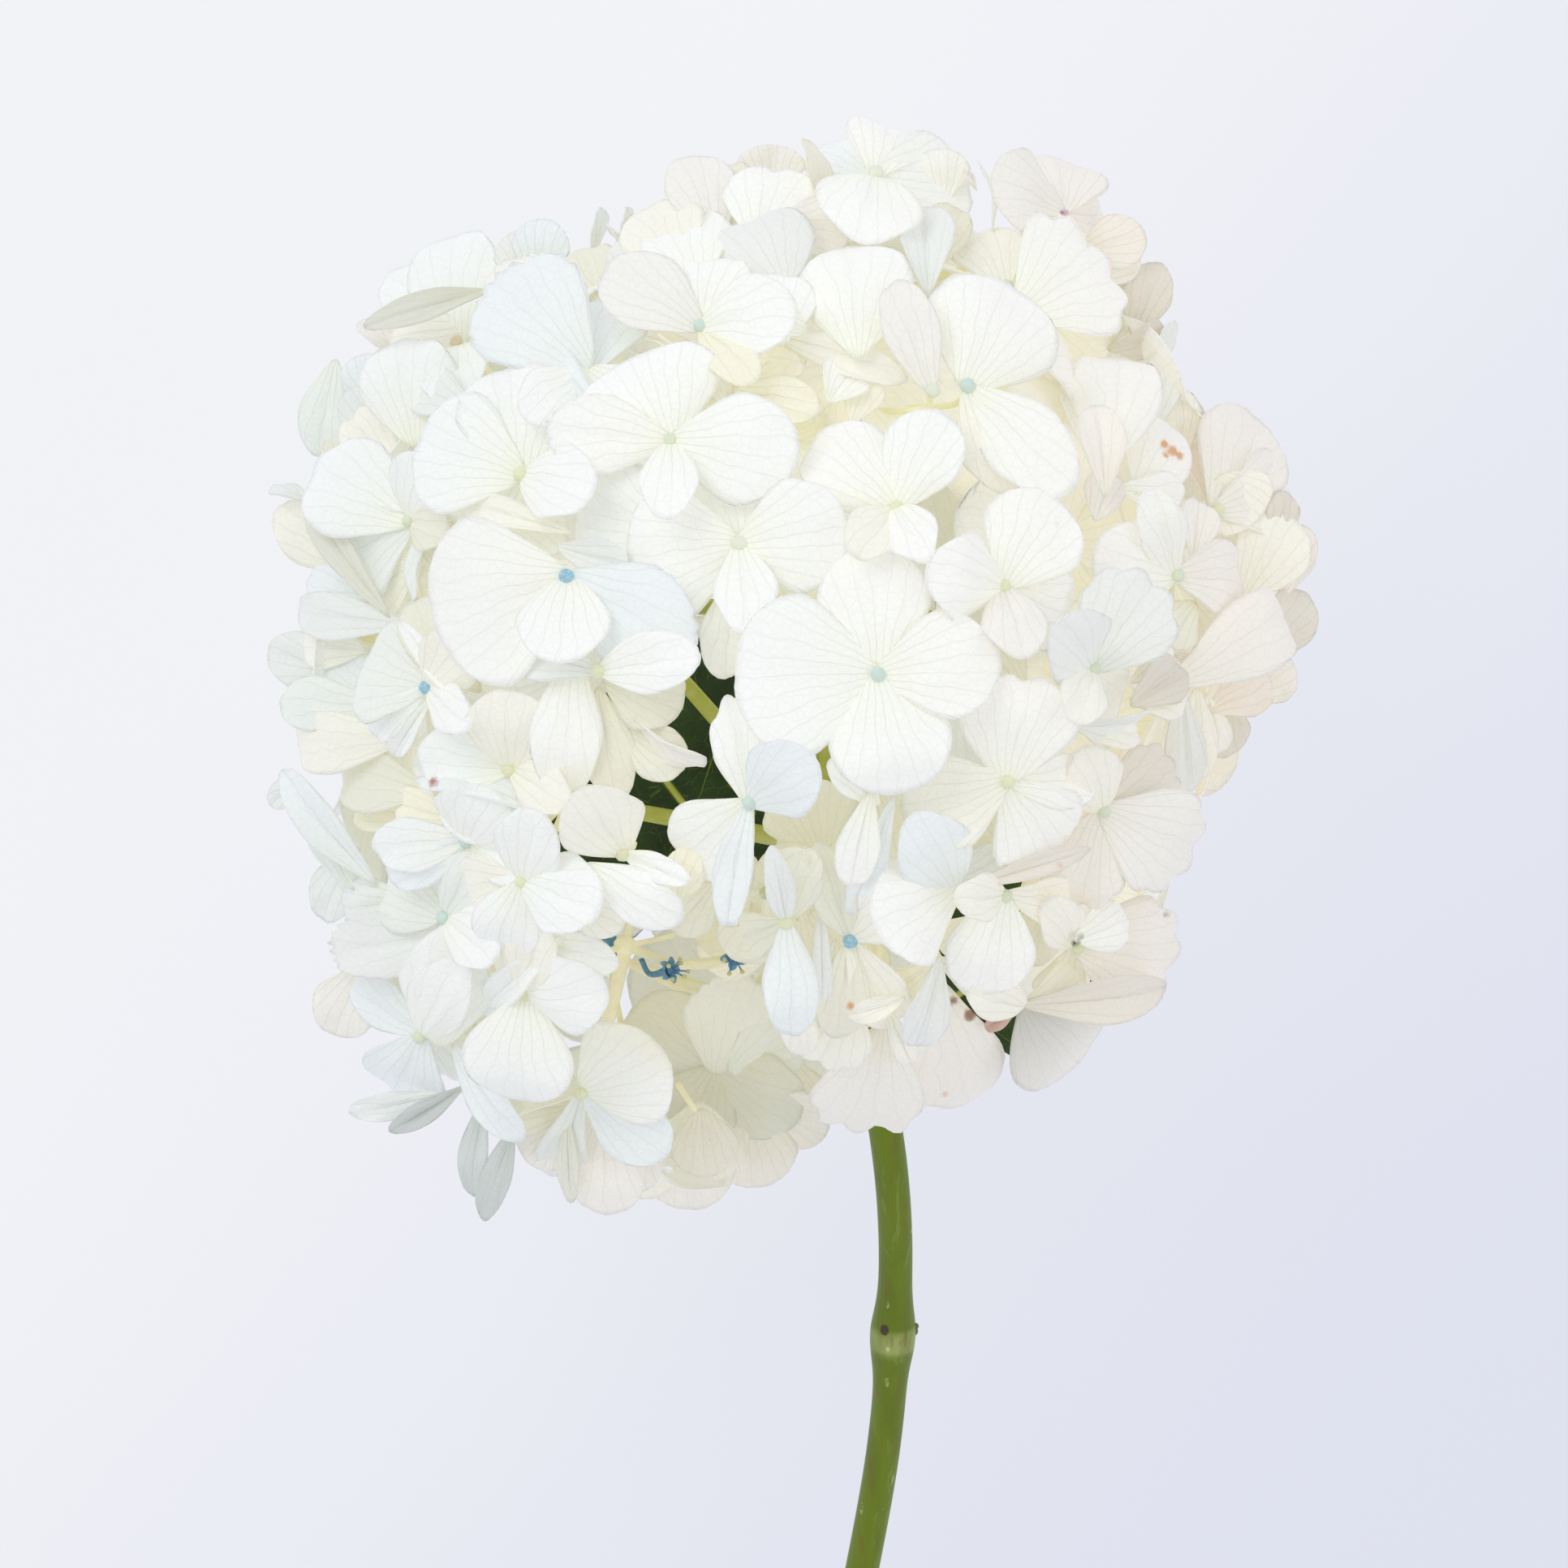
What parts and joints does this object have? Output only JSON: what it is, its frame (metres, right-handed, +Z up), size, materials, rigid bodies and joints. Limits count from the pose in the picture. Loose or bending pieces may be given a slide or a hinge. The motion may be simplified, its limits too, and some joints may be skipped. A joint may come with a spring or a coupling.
{
  "type": "cut hydrangea",
  "caption": "Cut white mophead hydrangea lying on a table: a rounded head of broad four-sepalled florets on a bare green stem, with a leaf pair inside the head.",
  "frame": {"origin": "the flat spot under the flower head, where it rests on the table, below the middle of the head", "axes": "+Y from the cut stem to the crown, +Z up from the table, +X to the right as the flower is seen from above"},
  "size_m": [0.1923, 0.401, 0.1631],
  "materials": {
    "stem": "smooth green bark with pale specks and purple-brown streaks",
    "sepals": "soft matt white petal, light passes through it",
    "fertile_flowers": "matt blue",
    "leaves": "dark green with a dull gloss and pale veins"
  },
  "bodies": {
    "root": {"stem": "stem", "flower_head": "sepals", "fertile_flower_1": "fertile_flowers", "fertile_flower_2": "fertile_flowers", "fertile_flower_3": "fertile_flowers", "leaf_left": "leaves", "leaf_right": "leaves"}
  },
  "joints": []
}
